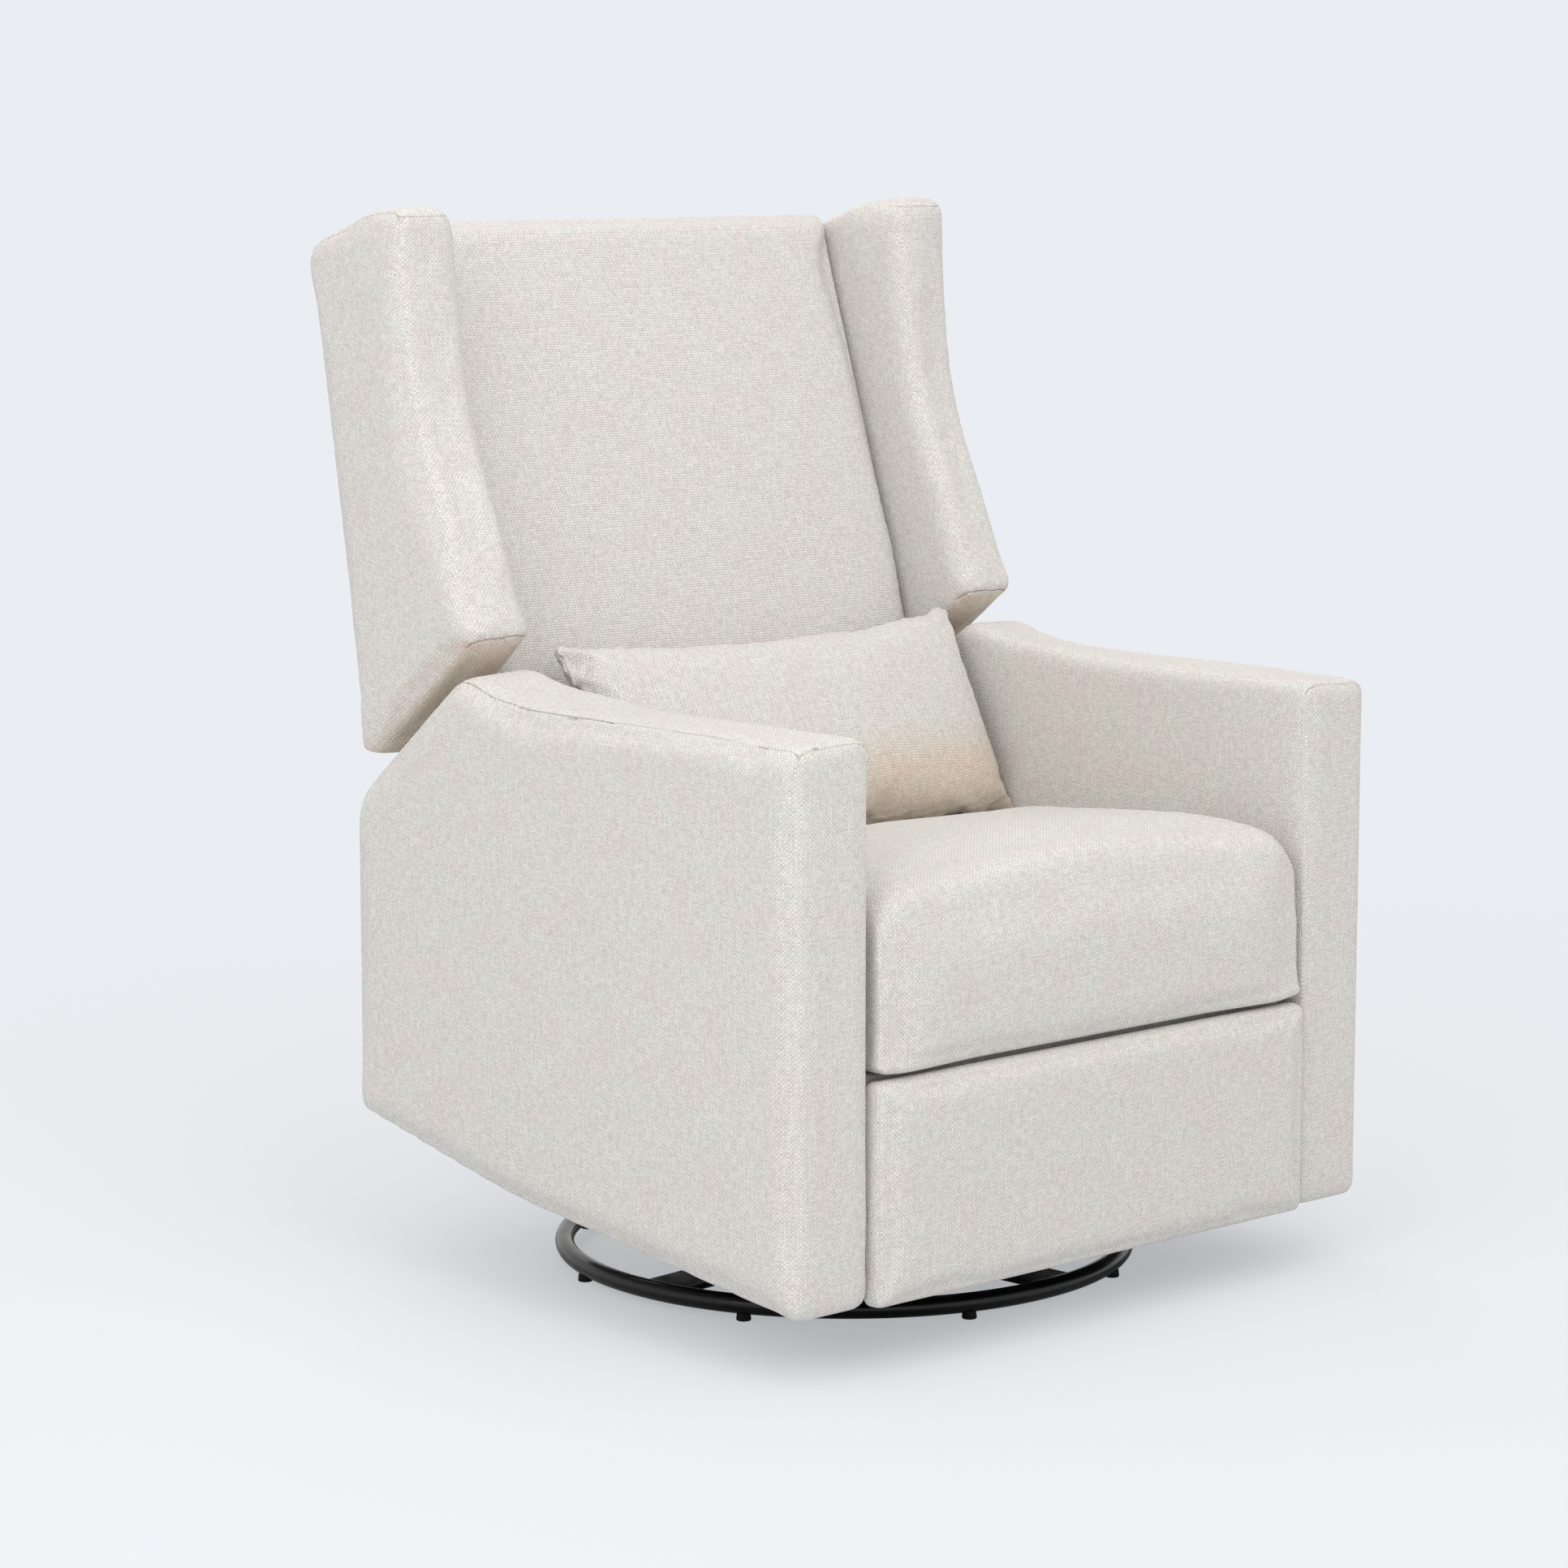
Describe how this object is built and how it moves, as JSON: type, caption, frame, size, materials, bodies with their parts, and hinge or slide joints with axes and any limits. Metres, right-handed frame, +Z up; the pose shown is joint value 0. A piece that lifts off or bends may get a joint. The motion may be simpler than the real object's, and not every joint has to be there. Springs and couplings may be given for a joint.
{
  "type": "glider nursery chair",
  "caption": "Upholstered wingback swivel glider recliner on a ring base, with hanging glide links, a fold-out footrest linkage, a reclining back and a loose lumbar pillow.",
  "frame": {"origin": "on the floor, under the middle of the whole chair's outline", "axes": "+Z up; the chair faces -Y; the sitter's left hand is at +X"},
  "size_m": [0.762, 0.7664, 1.0568],
  "materials": {
    "oatmeal_weave": "matte basket weave in oatmeal with fine darker slubs",
    "ring_gloss_black": "gloss black enamel",
    "frame_black_steel": "satin black powder coat",
    "mechanism_zinc_steel": "zinc plated",
    "frame_timber": "sawn hardwood",
    "foot_rubber": "moulded black rubber"
  },
  "bodies": {
    "base": {"base_ring": "ring_gloss_black", "base_bar_side_to_side": "frame_black_steel", "base_bar_front_to_back": "frame_black_steel", "lower_race": "mechanism_zinc_steel", "foot_1": "foot_rubber", "foot_2": "foot_rubber", "foot_3": "foot_rubber", "foot_4": "foot_rubber", "foot_5": "foot_rubber", "foot_6": "foot_rubber", "foot_7": "foot_rubber", "foot_8": "foot_rubber"},
    "swivel_stand": {"upper_race": "mechanism_zinc_steel", "front_channel": "frame_black_steel", "rear_channel": "frame_black_steel", "hanger_plate_left": "frame_black_steel", "hanger_plate_right": "frame_black_steel"},
    "front_glide_links": {"front_glide_link_left": "mechanism_zinc_steel", "front_glide_link_right": "mechanism_zinc_steel"},
    "rear_glide_links": {"rear_glide_link_left": "mechanism_zinc_steel", "rear_glide_link_right": "mechanism_zinc_steel"},
    "chair": {"carriage_plate_left": "frame_black_steel", "carriage_plate_right": "frame_black_steel", "front_cross_tube": "mechanism_zinc_steel", "rear_cross_tube": "mechanism_zinc_steel", "mechanism_plate_left": "mechanism_zinc_steel", "mechanism_plate_right": "mechanism_zinc_steel", "front_seat_rail": "frame_timber", "rear_seat_rail": "frame_timber", "side_seat_rail_left": "frame_timber", "side_seat_rail_right": "frame_timber", "seat_spring_unit": "mechanism_zinc_steel", "seat_cushion": "oatmeal_weave", "arm_left": "oatmeal_weave", "arm_right": "oatmeal_weave", "rear_panel": "oatmeal_weave"},
    "lift_links": {"lift_link_left": "mechanism_zinc_steel", "lift_link_right": "mechanism_zinc_steel", "lift_torque_tube": "mechanism_zinc_steel"},
    "stay_links": {"stay_link_left": "mechanism_zinc_steel", "stay_link_right": "mechanism_zinc_steel"},
    "carrier_links": {"carrier_link_left": "mechanism_zinc_steel", "carrier_link_right": "mechanism_zinc_steel"},
    "follower_links": {"follower_link_left": "mechanism_zinc_steel", "follower_link_right": "mechanism_zinc_steel"},
    "footrest": {"footrest_pad": "oatmeal_weave", "footrest_board": "frame_timber", "footrest_bracket_left": "mechanism_zinc_steel", "footrest_bracket_right": "mechanism_zinc_steel"},
    "back": {"back_stile_left": "frame_timber", "back_stile_right": "frame_timber", "back_lower_rail": "frame_timber", "back_upper_rail": "frame_timber", "hinge_bracket_left": "mechanism_zinc_steel", "hinge_bracket_right": "mechanism_zinc_steel", "back_cushion": "oatmeal_weave", "outside_back": "oatmeal_weave", "wing_left": "oatmeal_weave", "wing_right": "oatmeal_weave"},
    "pillow": {"lumbar_pillow": "oatmeal_weave"}
  },
  "joints": [
    {"name": "swivel", "type": "hinge", "parent": "base", "child": "swivel_stand", "pos_m": [0, -0.02, 0.03], "axis": [0, 0, 1], "continuous": true},
    {"name": "glide", "type": "hinge", "parent": "swivel_stand", "child": "front_glide_links", "pos_m": [0, -0.14, 0.187], "axis": [1, 0, 0], "range_deg": [-25, 25]},
    {"name": "rear_glide", "type": "hinge", "parent": "swivel_stand", "child": "rear_glide_links", "pos_m": [0, 0.1, 0.187], "axis": [1, 0, 0], "range_deg": [-25, 25]},
    {"name": "glide_level", "type": "hinge", "parent": "front_glide_links", "child": "chair", "pos_m": [0, -0.14, 0.072], "axis": [1, 0, 0], "range_deg": [-25, 25]},
    {"name": "footrest_lift", "type": "hinge", "parent": "chair", "child": "lift_links", "pos_m": [0, -0.285, 0.237], "axis": [-1, 0, 0], "range_deg": [0, 83]},
    {"name": "footrest_stay", "type": "hinge", "parent": "chair", "child": "stay_links", "pos_m": [0, -0.211, 0.237], "axis": [-1, 0, 0], "range_deg": [0, 83]},
    {"name": "footrest_carrier", "type": "hinge", "parent": "lift_links", "child": "carrier_links", "pos_m": [0, -0.21316, 0.08293], "axis": [-1, 0, 0], "range_deg": [-83, 0]},
    {"name": "footrest_follower", "type": "hinge", "parent": "lift_links", "child": "follower_links", "pos_m": [0, -0.22749, 0.13291], "axis": [-1, 0, 0], "range_deg": [-83, 0]},
    {"name": "footrest_turn", "type": "hinge", "parent": "carrier_links", "child": "footrest", "pos_m": [0, -0.314, 0.197], "axis": [-1, 0, 0], "range_deg": [0, 83]},
    {"name": "recline", "type": "hinge", "parent": "chair", "child": "back", "pos_m": [0, 0.215, 0.357], "axis": [-1, 0, 0], "range_deg": [0, 42]},
    {"name": "pillow_lift", "type": "slide", "parent": "back", "child": "pillow", "axis": [0, 0.3041, 0.9526], "range_m": [0, 0.3]}
  ],
  "couplings": [
    {"joint": "rear_glide", "follows": "glide", "ratio": 1},
    {"joint": "glide_level", "follows": "glide", "ratio": -1},
    {"joint": "footrest_stay", "follows": "footrest_lift", "ratio": 1},
    {"joint": "footrest_carrier", "follows": "footrest_lift", "ratio": -1},
    {"joint": "footrest_follower", "follows": "footrest_lift", "ratio": -1},
    {"joint": "footrest_turn", "follows": "footrest_lift", "ratio": 1}
  ]
}
